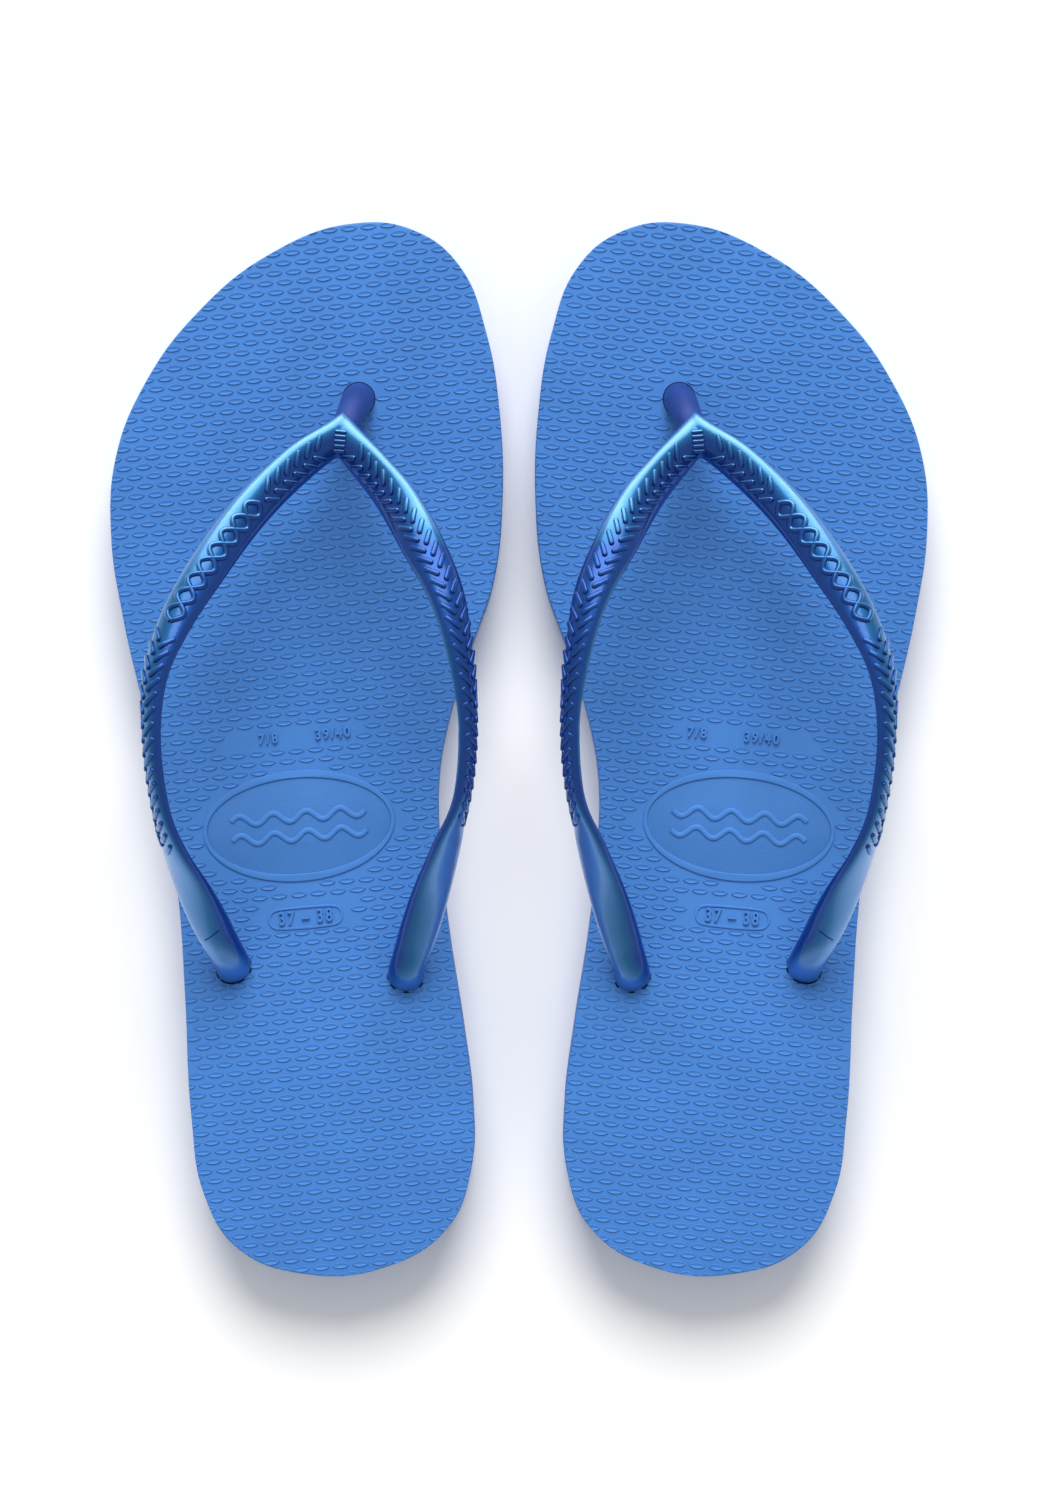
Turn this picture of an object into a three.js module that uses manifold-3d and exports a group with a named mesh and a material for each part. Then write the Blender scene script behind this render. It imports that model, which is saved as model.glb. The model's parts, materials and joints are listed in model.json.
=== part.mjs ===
// A pair of moulded rubber flip-flops, lying side by side on the ground with their toes along +Y.
//
// Each shoe has a two-layer sole, a Y-shaped strap moulded in one piece with its two side plugs, and a toe
// post that holds the strap's point to the sole. Lengths are in millimetres and angles in degrees.
//
// A shoe is drawn in its own frame: x towards the big toe's side, y towards the toes, z up from the ground,
// with the origin under the middle of the sole. The left shoe is drawn, and the right one is its mirror image.
// The sole bends across the ball of the foot, so each layer is made in two solids that meet on that line.
import * as THREE from "three";
import { mergeVertices } from "three/addons/utils/BufferGeometryUtils.js";
import Module from "manifold-3d";

// The sole.
const SOLE_LENGTH = 257;
const SOLE_WIDTH = 98;
const FOREFOOT_THICKNESS = 15; // ground to the top of the footbed, from the toes to the ball of the foot
const HEEL_THICKNESS = 18;
const FOOTBED_THICKNESS = 6; // the upper layer; the outsole is the rest
const LIFT_START_Y = 10; // the sole thickens from here back to LIFT_END_Y
const LIFT_END_Y = -80;
const FLEX_Y = 45; // the line across the ball of the foot on which the sole bends
const CLEARANCE = 0.3; // left between solids that touch on the real shoe

// How the pair stands.
const SHOE_GAP = 8; // between the two soles where they are closest
const TOE_OUT = 5; // each shoe is turned outwards by this angle

// The strap.
const STRAP_WIDTH = 9.8;
const STRAP_THICKNESS = 3.8;
const STRAP_RISE = 47; // the strap's highest point above the footbed
const CROWN = 2.5; // how far the strap's domed face stands above its centreline
const PLUG_WIDTH = 8.8; // the oval shank where each arm goes down through the sole
const PLUG_DEPTH = 7;
const PLUG_DISC_RADIUS = 9; // the button under the sole that holds the arm's end
const PLUG_DISC_THICKNESS = 2.4;

// The toe post.
const POST_TOP_RADIUS = 3.3;
const POST_RADIUS = 4;
const POST_DISC_RADIUS = 10;
const POST_DISC_THICKNESS = 2.4;
const POST_X = 18.3; // the hole between the first two toes
const POST_Y = 85;

const DISC_RECESS = 0.8; // how far the buttons' faces sit above the ground

// The outline and the strap's line are drawn for a sole of this size, and stretch with the real one.
const DRAWN = { length: 257, width: 98, rise: 47 };
const stretchX = SOLE_WIDTH / DRAWN.width;
const stretchY = SOLE_LENGTH / DRAWN.length;
const stretchRise = STRAP_RISE / DRAWN.rise;

// Points round the sole, from the tip of the toes down the big toe's side and back up the other side.
const OUTLINE = [
  [21, 128], [36, 124.7], [46, 115], [51, 98], [52.5, 80], [51.3, 57], [47.3, 37], [41, 22.5],
  [33.8, 5], [29.8, -10], [28.6, -28], [29, -48], [30.5, -70], [31.2, -90], [29.4, -106], [22.4, -120],
  [6, -128.4], [-14, -128.2], [-29.6, -120.5], [-36.6, -106.5], [-38, -88], [-37, -58], [-36.6, -34],
  [-38, -12], [-41.2, 14], [-44.2, 36], [-45.4, 57], [-42.5, 76], [-34, 93], [-20, 109], [0, 122.5],
];
const OUTLINE_STEPS = 96;

// One arm of the strap from its point to the sole: x, y, the height above the footbed, which way its outer
// face looks, and its width as a share of the strap's.
const OUTER_ARM = [
  { at: [13.6, 75.6, 19], faces: [0, -0.25, 1], width: 1 },
  { at: [3.7, 69.7, 23], faces: [0.18, -0.3, 1], width: 1 },
  { at: [-9.3, 58.6, 30], faces: [0.12, -0.12, 1], width: 1 },
  { at: [-21, 44.8, 37], faces: [-0.1, 0.06, 1], width: 1 },
  { at: [-29.6, 32.1, 42], faces: [-0.46, 0.12, 1], width: 0.9 },
  { at: [-34.8, 20, 45.5], faces: [-1, 0.12, 1], width: 0.75 },
  { at: [-36.4, 5, 46], faces: [-1, 0, 0.25], width: 0.7 },
  { at: [-36.2, -8, 41], faces: [-1, 0, 0.2], width: 0.8 },
  { at: [-34.8, -19.5, 33], faces: [-1, -0.2, 0.6], width: 1 },
  { at: [-31.8, -29.9, 23.5], faces: [-0.75, -0.5, 1], width: 1.06 },
  { at: [-27.8, -42, 12], faces: [-0.1, -0.9, 1], width: 1.12 },
  { at: [-24.6, -50.6, 3], faces: [0.3, -1, 0.7], width: 1 },
];
const INNER_ARM = [
  { at: [13.6, 75.6, 19], faces: [0, -0.25, 1], width: 1 },
  { at: [20.4, 66.3, 24], faces: [-0.35, -0.27, 1], width: 1.04 },
  { at: [25.6, 58.4, 30], faces: [-0.3, -0.15, 1], width: 1.1 },
  { at: [31, 47, 37.5], faces: [0.05, 0.02, 1], width: 1.08 },
  { at: [36, 33.5, 43.5], faces: [0.4, 0.08, 1], width: 0.95 },
  { at: [37.9, 19, 46.5], faces: [1, 0.05, 0.9], width: 0.8 },
  { at: [37.8, 3, 46], faces: [1, 0, 0.25], width: 0.7 },
  { at: [35.5, -11.6, 40], faces: [1, 0, 0.2], width: 0.8 },
  { at: [31, -24.5, 30], faces: [0.9, -0.35, 0.8], width: 1 },
  { at: [26, -36.5, 19], faces: [0.5, -0.7, 1], width: 1.06 },
  { at: [20.6, -49.5, 8.5], faces: [-0.05, -1, 0.9], width: 1.12 },
  { at: [17.6, -56.6, 2.5], faces: [-0.25, -1, 0.6], width: 1 },
];
const POST_BEND = { along: 0.3, up: 0.4 }; // where the post leans over, as shares of its way to the strap's point
const POST_STRAIGHT = 1; // the post starts to lean this far below the footbed
const PLUG_LEAN = 3; // how much further back an arm's plug goes before it turns straight down
const MITRE_SHARE = 0.9; // the corner where the arms meet is rounded to this share of a sharp mitre
const PLUG_BLEND = 0.2; // the share of an arm over which its flat section turns into the plug's oval
const FLAT_SIDE = 0.35; // the power that flattens the strap's inner face; 1 is an ellipse
const ARM_STEPS = 26;
const POST_STEPS = 12;
const LIFT_STEPS = 12;
const SECTION_SIDES = 12;
const DISC_SIDES = 28;

const outsoleColour = new THREE.MeshStandardMaterial({ color: 0x3f7cd0, roughness: 0.75, metalness: 0 });
const footbedColour = new THREE.MeshStandardMaterial({ color: 0x4a86da, roughness: 0.7, metalness: 0 });
const strapColour = new THREE.MeshStandardMaterial({ color: 0x1d4fb0, roughness: 0.3, metalness: 0.7 });
const postColour = new THREE.MeshStandardMaterial({ color: 0x2a4aa0, roughness: 0.45, metalness: 0 });

const wasm = await Module();
wasm.setup();

// A closed geometry as a manifold solid, and back again.
function solidOf(geometry) {
  const bare = geometry.index ? geometry.toNonIndexed() : geometry.clone();
  bare.deleteAttribute("normal");
  bare.deleteAttribute("uv");
  const merged = mergeVertices(bare, 1e-4);
  return new wasm.Manifold(
    new wasm.Mesh({
      numProp: 3,
      vertProperties: merged.attributes.position.array,
      triVerts: new Uint32Array(merged.index.array),
    }),
  );
}

function geometryOf(solid) {
  const mesh = solid.getMesh();
  const geometry = new THREE.BufferGeometry();
  geometry.setAttribute("position", new THREE.BufferAttribute(mesh.vertProperties, 3));
  geometry.setIndex(new THREE.BufferAttribute(mesh.triVerts, 1));
  const flat = geometry.toNonIndexed();
  flat.computeVertexNormals();
  return flat;
}

// Height of the footbed's top above the ground.
function footbedTop(y) {
  const lift = THREE.MathUtils.smoothstep(LIFT_START_Y - y, 0, LIFT_START_Y - LIFT_END_Y);
  return THREE.MathUtils.lerp(FOREFOOT_THICKNESS, HEEL_THICKNESS, lift);
}

function soleOutline() {
  const points = OUTLINE.map(([x, y]) => new THREE.Vector3(x * stretchX, y * stretchY, 0));
  const curve = new THREE.CatmullRomCurve3(points, true, "centripetal");
  return curve.getPoints(OUTLINE_STEPS).slice(0, OUTLINE_STEPS);
}

// The outline as a block that reaches above and below the sole, to be cut to each layer.
function planBlock() {
  const shape = new THREE.Shape(soleOutline().map((p) => new THREE.Vector2(p.x, p.y)));
  const below = FOREFOOT_THICKNESS / 2;
  const depth = HEEL_THICKNESS + 2 * below;
  const block = new THREE.ExtrudeGeometry(shape, { depth, bevelEnabled: false });
  return solidOf(block.translate(0, 0, -below));
}

// A slab wider than the shoe, from y0 to y1, between two heights that follow y.
function slab(y0, y1, low, high) {
  const places = [y0];
  for (let i = 0; i <= LIFT_STEPS; i += 1) {
    const y = THREE.MathUtils.lerp(LIFT_END_Y, LIFT_START_Y, i / LIFT_STEPS);
    if (y > y0 && y < y1) places.push(y);
  }
  places.push(y1);
  const lower = places.map((y) => new THREE.Vector2(y, low(y))).reverse();
  const upper = places.map((y) => new THREE.Vector2(y, high(y)));
  const depth = 2 * SOLE_WIDTH;
  const profile = new THREE.ExtrudeGeometry(new THREE.Shape([...lower, ...upper]), {
    depth,
    bevelEnabled: false,
  });
  const toShoe = new THREE.Matrix4().makeBasis(
    new THREE.Vector3(0, 1, 0),
    new THREE.Vector3(0, 0, 1),
    new THREE.Vector3(1, 0, 0),
  );
  return solidOf(profile.applyMatrix4(toShoe).translate(-depth / 2, 0, 0));
}

// A tube through a list of stations. Each has a centre, a direction across the section and one out of its
// upper face, half its width, and how far the section reaches above and below its centre.
function loft(stations) {
  const last = stations.length - 1;
  const tube = new THREE.CylinderGeometry(1, 1, 1, SECTION_SIDES, last, false);
  const position = tube.attributes.position;
  const point = new THREE.Vector3();
  const moved = new THREE.Vector3();
  for (let i = 0; i < position.count; i += 1) {
    point.fromBufferAttribute(position, i);
    const station = stations[Math.round((0.5 - point.y) * last)];
    const height = point.z > 0
      ? point.z * station.above
      : -(Math.abs(point.z) ** station.flatness) * station.below;
    moved.copy(station.centre)
      .addScaledVector(station.across, point.x * station.halfWidth)
      .addScaledVector(station.out, height);
    position.setXYZ(i, moved.x, moved.y, moved.z);
  }
  return solidOf(tube);
}

// A point drawn as x, y and height above the footbed, where it is on the real sole.
function placed([x, y, height]) {
  const place = y * stretchY;
  return new THREE.Vector3(x * stretchX, place, footbedTop(place) + height * stretchRise);
}

// A value between those given at an arm's points, t from 0 to 1 along them.
function between(values, t) {
  const place = t * (values.length - 1);
  const before = Math.min(Math.floor(place), values.length - 2);
  return THREE.MathUtils.lerp(values[before], values[before + 1], place - before);
}

// Where an arm's plug goes straight down through the sole.
function plugFoot(arm) {
  const end = placed(arm[arm.length - 1].at);
  return end.setY(end.y - PLUG_LEAN).setZ(DISC_RECESS + PLUG_DISC_THICKNESS / 2);
}

// The stations of one arm, from the strap's point down to the button under the sole.
function armStations(arm, grow) {
  const foot = plugFoot(arm);
  const middle = foot.clone().setZ(footbedTop(foot.y) / 2);
  const line = new THREE.CatmullRomCurve3(
    [...arm.map((p) => placed(p.at)), middle, foot], false, "centripetal");
  const [endX, endY] = arm[arm.length - 1].faces;
  const upright = [endX, endY, 0];
  const faces = [...arm.map((p) => p.faces), upright, upright];
  const look = new THREE.CatmullRomCurve3(
    faces.map((f) => new THREE.Vector3(...f).normalize()), false, "centripetal");
  const shares = [...arm.map((p) => p.width), 1, 1];
  const intoSole = (arm.length - 1) / (faces.length - 1);
  return Array.from({ length: ARM_STEPS + 1 }, (_, i) => {
    const t = i / ARM_STEPS;
    const along = line.getTangent(t);
    const out = look.getPoint(t);
    out.addScaledVector(along, -out.dot(along)).normalize();
    const plug = THREE.MathUtils.smoothstep(t, intoSole - PLUG_BLEND, intoSole);
    return {
      centre: line.getPoint(t),
      across: new THREE.Vector3().crossVectors(out, along),
      out,
      halfWidth: THREE.MathUtils.lerp(STRAP_WIDTH * between(shares, t), PLUG_WIDTH, plug) / 2 + grow,
      above: THREE.MathUtils.lerp(CROWN, PLUG_DEPTH / 2, plug) + grow,
      below: THREE.MathUtils.lerp(STRAP_THICKNESS - CROWN, PLUG_DEPTH / 2, plug) + grow,
      flatness: THREE.MathUtils.lerp(FLAT_SIDE, 1, plug),
    };
  });
}

// Both arms are one tube, which runs from one plug up to the strap's point, turns there on a mitre, and runs
// down to the other plug. Grow makes it larger all over.
function armsSolid(grow) {
  const inner = armStations(INNER_ARM, grow);
  const outer = armStations(OUTER_ARM, grow).reverse();
  outer.forEach((station) => station.across.negate());
  const corner = inner.shift();
  const across = outer.pop().across.add(corner.across).setZ(0);
  const sharpMitre = corner.halfWidth / (across.length() / 2);
  corner.halfWidth = sharpMitre * MITRE_SHARE;
  corner.across = across.normalize();
  corner.out.set(0, 0, 1);
  return loft([...outer, corner, ...inner]);
}

function cylinder(radius, bottom, top, at) {
  return solidOf(
    new THREE.CylinderGeometry(radius, radius, top - bottom, DISC_SIDES)
      .rotateX(Math.PI / 2)
      .translate(at.x, at.y, (top + bottom) / 2),
  );
}

// The button on a plug's end, and the round recess that it sits in, which is open to the ground.
function button(radius, thickness, at) {
  return cylinder(radius, DISC_RECESS, DISC_RECESS + thickness, at);
}

function recess(radius, thickness, at) {
  return cylinder(radius + CLEARANCE, -thickness, DISC_RECESS + thickness + CLEARANCE, at);
}

// The post leans from its hole in the sole back to the strap's point.
function postHole() {
  return new THREE.Vector3(POST_X * stretchX, POST_Y * stretchY, 0);
}

function postSolid(grow) {
  const hole = postHole();
  const ground = footbedTop(hole.y);
  const top = placed(OUTER_ARM[0].at);
  top.z -= STRAP_THICKNESS - CROWN + CLEARANCE;
  const line = new THREE.CatmullRomCurve3([
    hole.clone().setZ(DISC_RECESS + POST_DISC_THICKNESS / 2),
    hole.clone().setZ(ground - POST_STRAIGHT),
    hole.clone().lerp(top, POST_BEND.along).setZ(THREE.MathUtils.lerp(ground, top.z, POST_BEND.up)),
    top,
  ], false, "centripetal");
  const up = new THREE.Vector3(0, 0, 1);
  return loft(Array.from({ length: POST_STEPS + 1 }, (_, i) => {
    const centre = line.getPoint(i / POST_STEPS);
    const along = i === POST_STEPS ? up : line.getTangent(i / POST_STEPS);
    const out = new THREE.Vector3(0, 1, 0).addScaledVector(along, -along.y).normalize();
    const risen = THREE.MathUtils.smoothstep(centre.z, ground, top.z);
    const radius = THREE.MathUtils.lerp(POST_RADIUS, POST_TOP_RADIUS, risen) + grow;
    return {
      centre,
      across: new THREE.Vector3().crossVectors(out, along),
      out,
      halfWidth: radius,
      above: radius,
      below: radius,
      flatness: 1,
    };
  }));
}

// What the strap and the post take out of the sole.
function fittingsRoom() {
  const plugs = [OUTER_ARM, INNER_ARM].map((arm) =>
    recess(PLUG_DISC_RADIUS, PLUG_DISC_THICKNESS, plugFoot(arm)));
  return [postSolid(CLEARANCE), recess(POST_DISC_RADIUS, POST_DISC_THICKNESS, postHole()), ...plugs]
    .reduce((room, cut) => room.add(cut), armsSolid(CLEARANCE));
}

function strapSolid() {
  return [OUTER_ARM, INNER_ARM].reduce(
    (strap, arm) => strap.add(button(PLUG_DISC_RADIUS, PLUG_DISC_THICKNESS, plugFoot(arm))),
    armsSolid(0),
  );
}

function toePostSolid() {
  return postSolid(0).add(button(POST_DISC_RADIUS, POST_DISC_THICKNESS, postHole()));
}

function mesh(name, solid, material) {
  const made = new THREE.Mesh(geometryOf(solid), material);
  made.name = name;
  return made;
}

// One shoe, drawn as the left one.
function shoe(side) {
  const group = new THREE.Group();
  const plan = planBlock();
  const room = fittingsRoom();
  const seam = (y) => footbedTop(y) - FOOTBED_THICKNESS;
  const outsoleTop = (y) => seam(y) - CLEARANCE;
  const ground = () => 0;
  const parts = {
    front: [FLEX_Y + CLEARANCE / 2, SOLE_LENGTH],
    rear: [-SOLE_LENGTH, FLEX_Y - CLEARANCE / 2],
  };
  for (const [part, [y0, y1]] of Object.entries(parts)) {
    const upper = plan.intersect(slab(y0, y1, seam, footbedTop)).subtract(room);
    const lower = plan.intersect(slab(y0, y1, ground, outsoleTop)).subtract(room);
    group.add(mesh(`${side}_footbed_${part}`, upper, footbedColour));
    group.add(mesh(`${side}_outsole_${part}`, lower, outsoleColour));
  }
  group.add(mesh(`${side}_strap`, strapSolid(), strapColour));
  group.add(mesh(`${side}_toe_post`, toePostSolid(), postColour));
  return group;
}

// The left shoe is turned and moved to its place, and the right one mirrors it across the middle of the pair.
function pair() {
  const turn = THREE.MathUtils.degToRad(TOE_OUT);
  const turned = soleOutline().map((p) => p.applyAxisAngle(new THREE.Vector3(0, 0, 1), turn));
  const reach = new THREE.Box3().setFromPoints(turned);
  const left = shoe("left");
  left.name = "left_shoe";
  left.rotation.z = turn;
  left.position.set(-reach.max.x - SHOE_GAP / 2, -(reach.max.y + reach.min.y) / 2, 0);
  const right = shoe("right");
  right.name = "right_shoe";
  right.rotation.z = -turn;
  right.scale.x = -1;
  right.position.set(-left.position.x, left.position.y, 0);
  const both = new THREE.Group();
  both.add(left, right);
  return both;
}

export default pair();
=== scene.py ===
"""A pair of moulded rubber flip-flops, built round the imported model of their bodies.

Each shoe is modelled in its own frame: x towards the big toe's side, y towards the toes, z up from the ground,
and the origin under the middle of the sole. A finished piece is then turned and moved to the left shoe's place,
and mirrored to the right shoe's. Lengths are in metres, and MM turns the drawn millimetres into them.
"""
import json
import math

import bpy
import numpy as np
from mathutils import Matrix, Vector


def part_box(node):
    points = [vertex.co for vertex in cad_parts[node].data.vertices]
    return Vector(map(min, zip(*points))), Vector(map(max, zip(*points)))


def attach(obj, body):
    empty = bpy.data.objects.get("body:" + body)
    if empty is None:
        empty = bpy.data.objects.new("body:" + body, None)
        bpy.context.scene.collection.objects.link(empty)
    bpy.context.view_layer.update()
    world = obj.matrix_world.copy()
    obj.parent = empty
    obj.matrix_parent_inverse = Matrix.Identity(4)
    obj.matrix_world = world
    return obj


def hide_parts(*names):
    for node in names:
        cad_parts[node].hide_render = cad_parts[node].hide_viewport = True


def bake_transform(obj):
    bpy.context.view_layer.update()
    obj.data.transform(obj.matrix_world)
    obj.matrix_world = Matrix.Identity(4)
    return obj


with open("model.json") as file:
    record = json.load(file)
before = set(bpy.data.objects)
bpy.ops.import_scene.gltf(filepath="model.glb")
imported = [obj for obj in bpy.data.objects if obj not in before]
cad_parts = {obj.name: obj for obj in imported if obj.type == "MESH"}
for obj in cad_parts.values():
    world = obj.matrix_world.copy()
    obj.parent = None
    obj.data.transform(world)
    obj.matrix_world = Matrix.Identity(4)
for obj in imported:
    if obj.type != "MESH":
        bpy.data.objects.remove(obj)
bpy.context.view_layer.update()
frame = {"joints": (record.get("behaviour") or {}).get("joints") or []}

bl_info = {
    "name": "Flip-flop Builder",
    "version": (1, 0, 0),
    "blender": (4, 5, 0),
    "location": "View3D > Sidebar > Flip-flop",
    "description": "Builds a pair of grained rubber flip-flops with pearl straps",
    "category": "Add Mesh",
}

MM = 0.001
TINY = 1e-5
SIDES = ("left", "right")

# The sole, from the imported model.
FLEX_Y = 45 * MM
FOREFOOT_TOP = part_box("left_footbed_front")[1][2]
HEEL_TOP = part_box("left_footbed_rear")[1][2]
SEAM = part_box("left_footbed_front")[0][2]
LIFT_START_Y = 10 * MM
LIFT_END_Y = -80 * MM
BEND_START_Y = 36 * MM
BEND_END_Y = 82 * MM

# Points round the sole, from the tip of the toes down the big toe's side and back up the other side.
OUTLINE = [
    (21, 128), (36, 124.7), (46, 115), (51, 98), (52.5, 80), (51.3, 57), (47.3, 37), (41, 22.5),
    (33.8, 5), (29.8, -10), (28.6, -28), (29, -48), (30.5, -70), (31.2, -90), (29.4, -106), (22.4, -120),
    (6, -128.4), (-14, -128.2), (-29.6, -120.5), (-36.6, -106.5), (-38, -88), (-37, -58), (-36.6, -34),
    (-38, -12), (-41.2, 14), (-44.2, 36), (-45.4, 57), (-42.5, 76), (-34, 93), (-20, 109), (0, 122.5),
]

# Each arm of the strap from its point to the sole: x, y, the height above the footbed, which way the face
# looks, and its width as a share of the strap's.
OUTER_ARM = [
    ((13.6, 75.6, 19), (0, -0.25, 1), 1),
    ((3.7, 69.7, 23), (0.18, -0.3, 1), 1),
    ((-9.3, 58.6, 30), (0.12, -0.12, 1), 1),
    ((-21, 44.8, 37), (-0.1, 0.06, 1), 1),
    ((-29.6, 32.1, 42), (-0.46, 0.12, 1), 0.9),
    ((-34.8, 20, 45.5), (-1, 0.12, 1), 0.75),
    ((-36.4, 5, 46), (-1, 0, 0.25), 0.7),
    ((-36.2, -8, 41), (-1, 0, 0.2), 0.8),
    ((-34.8, -19.5, 33), (-1, -0.2, 0.6), 1),
    ((-31.8, -29.9, 23.5), (-0.75, -0.5, 1), 1.06),
    ((-27.8, -42, 12), (-0.1, -0.9, 1), 1.12),
    ((-24.6, -50.6, 3), (0.3, -1, 0.7), 1),
]
INNER_ARM = [
    ((13.6, 75.6, 19), (0, -0.25, 1), 1),
    ((20.4, 66.3, 24), (-0.35, -0.27, 1), 1.04),
    ((25.6, 58.4, 30), (-0.3, -0.15, 1), 1.1),
    ((31, 47, 37.5), (0.05, 0.02, 1), 1.08),
    ((36, 33.5, 43.5), (0.4, 0.08, 1), 0.95),
    ((37.9, 19, 46.5), (1, 0.05, 0.9), 0.8),
    ((37.8, 3, 46), (1, 0, 0.25), 0.7),
    ((35.5, -11.6, 40), (1, 0, 0.2), 0.8),
    ((31, -24.5, 30), (0.9, -0.35, 0.8), 1),
    ((26, -36.5, 19), (0.5, -0.7, 1), 1.06),
    ((20.6, -49.5, 8.5), (-0.05, -1, 0.9), 1.12),
    ((17.6, -56.6, 2.5), (-0.25, -1, 0.6), 1),
]
PLUG_LEAN = 3 * MM
PLUG_BLEND = 0.2
FLAT_SIDE = 0.35
POST_HOLE = Vector((18.3, 85, 0)) * MM
BUTTON_BASE = 0.8 * MM
BUTTON_TOP = BUTTON_BASE + 2.4 * MM
BUTTON_MIDDLE = (BUTTON_BASE + BUTTON_TOP) / 2

# Room round the plugs and the toe post in the sole, how far relief is sunk into the face it stands on, and how
# far apart the edge lines are that let the sole bend and rise.
HOLE_FIT = 0.15 * MM
RECESS_FIT = 0.5 * MM
RECESS_ROOM = 0.3 * MM
SUNK = 0.5 * MM
LIFT_STEP = 3 * MM
BEND_STEP = 2 * MM
BEND_MARGIN = 3 * MM

# What stands on the footbed: the middles of the badge, of the size frame and of the size line, and the room
# left clear of grain round each mark. Waves run across the badge.
BADGE = (-5.5 * MM, -18.5 * MM)
BADGE_CLEAR = (1.6 * MM, 1 * MM)
BADGE_WAVES = {"long": 33 * MM, "amplitude": 1.2 * MM, "periods": 4, "radius": 0.75 * MM}
BADGE_WAVE_APART = 4.8 * MM
BADGE_WAVE_FLAT = 0.62
BADGE_WAVE_RISE = 0.06 * MM
PILL = (-5.8 * MM, -41 * MM)
PILL_SIZE = (18.6 * MM, 5.2 * MM)
PILL_LINE = 0.6 * MM
PILL_CLEAR = (11 * MM, 3.6 * MM)
SIZE_LINE = (-5.5 * MM, 3.4 * MM)
SIZE_LINE_CLEAR = (16.5 * MM, 2.2 * MM)
SIZE_LINES = (("7/8", (-11.2 * MM, 3.4 * MM)), ("39/40", (4.7 * MM, 3.4 * MM)))
POST_CLEAR = 5 * MM
GRAIN_REACH = (60 * MM, 134 * MM)
GRAIN_EDGE = 0.15 * MM
RING_HEIGHT = 0.9 * MM
RING_SUNK = 0.45 * MM
FIELD_HEIGHT = 0.5 * MM
FIELD_SUNK = 0.42 * MM

# The tread under the sole, and the room left round the buttons in it.
LUG_REACH = (60 * MM, 130 * MM)
LUG_SIZE = (6.4 * MM, 3.6 * MM)
LUG_PITCH = (7.6 * MM, 4.6 * MM)
LUG_TAPER = 0.82
BUTTON_CLEAR = 4.5 * MM
BORDER_CLEAR = 3.4 * MM

# The strap's relief, by distance along an arm from the strap's point, or from its foot for the mould line.
BAR_COLUMN = 1.75 * MM
BAR_TURN = math.radians(40)
OUTER_BARS = ((7 * MM, 25 * MM), (70 * MM, 122 * MM))
INNER_BARS = ((7 * MM, 112 * MM),)
WAVE_STRETCH = (29 * MM, 66 * MM)
STRAP_WAVES = {"amplitude": 2.2 * MM, "periods": 4, "radius": 0.7 * MM}
STRAP_WAVE_FLAT = 0.9
STRAP_WAVE_RISE = 0.05 * MM
MOULD_LINE = 32.5 * MM
MOULD_LINE_TURN = math.radians(115)
MOULD_LINE_SHAPE = (5.2 * MM, 0.45 * MM, 0.25 * MM)
RIB_SHAPE = (2.8 * MM, 0.85 * MM, 0.45 * MM)
RIBS = 5
RIB_STRETCH = (-0.8, 0.08)

# The strap's colour holds painted reflection and painted shade: lighter where a face looks away from the middle
# of the foot, darker where it looks towards it.
FOOT_MIDDLE = (2 * MM, 8 * MM)
# Name of the point attribute that keeps how much painted reflection or painted shade each point of the strap
# gets.
PAINTED_LIGHT_ATTRIBUTE = "painted_light_share"

# The view from straight above.
SENSOR_MM = 24
CAMERA_HEIGHT = 1.5
CAMERA_Y = -0.37 * MM
VIEW_HEIGHT = 369 * MM
FLOOR_SIZE = 40
FLOOR_GAP = 0.1 * MM

# The lights, with elevation and spread in degrees. The glint shows in reflections, and the key in all the rest.
SKY_STRENGTH = 0.55
KEY = {"elevation": 40, "spread": 38, "strength": 3.1}
GLINT = {"elevation": 26, "spread": 52, "strength": 2.4}
GLINT_COLOUR = (1, 1, 0.88)


def linear(red, green, blue):
    """A colour given in the usual 0 to 255, as the linear values that shaders take."""
    return tuple(((c / 255 + 0.055) / 1.055) ** 2.4 for c in (red, green, blue))


def length(name, description, default):
    return bpy.props.FloatProperty(name=name, description=description, default=default, min=0,
                                   unit="LENGTH", subtype="DISTANCE", precision=5)


def colour(name, description, default):
    return bpy.props.FloatVectorProperty(name=name, description=description, default=default, min=0, max=1,
                                         size=3, subtype="COLOR")


class SoleSizes(bpy.types.PropertyGroup):
    """Sizes of the sole's surface."""
    edge_round: length("Edge", "Rounding of each layer's edges", 0.5 * MM)
    grain_length: length("Grain length", "Length of one raised oval", 4.15 * MM)
    grain_width: length("Grain width", "Width of one raised oval", 1.6 * MM)
    grain_height: length("Grain height", "How far an oval's lip stands above the footbed", 0.33 * MM)
    grain_lip: length("Grain lip", "Width of the outer slope of an oval's lip", 0.21 * MM)
    grain_pitch: length("Grain pitch", "From one oval to the next in a row", 4.82 * MM)
    grain_rows: length("Grain rows", "From one row to the next but one", 4.7 * MM)
    badge_length: length("Badge length", "Length of the raised oval ring on the heel", 47.2 * MM)
    badge_width: length("Badge width", "Width of the raised oval ring on the heel", 27.3 * MM)
    badge_band: length("Badge band", "Width of the ring where it is widest", 1.9 * MM)
    tread_depth: length("Tread depth", "Height of the lugs under the sole", 0.8 * MM)
    tread_border: length("Tread border", "Width of the rim round the tread", 4 * MM)


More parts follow.
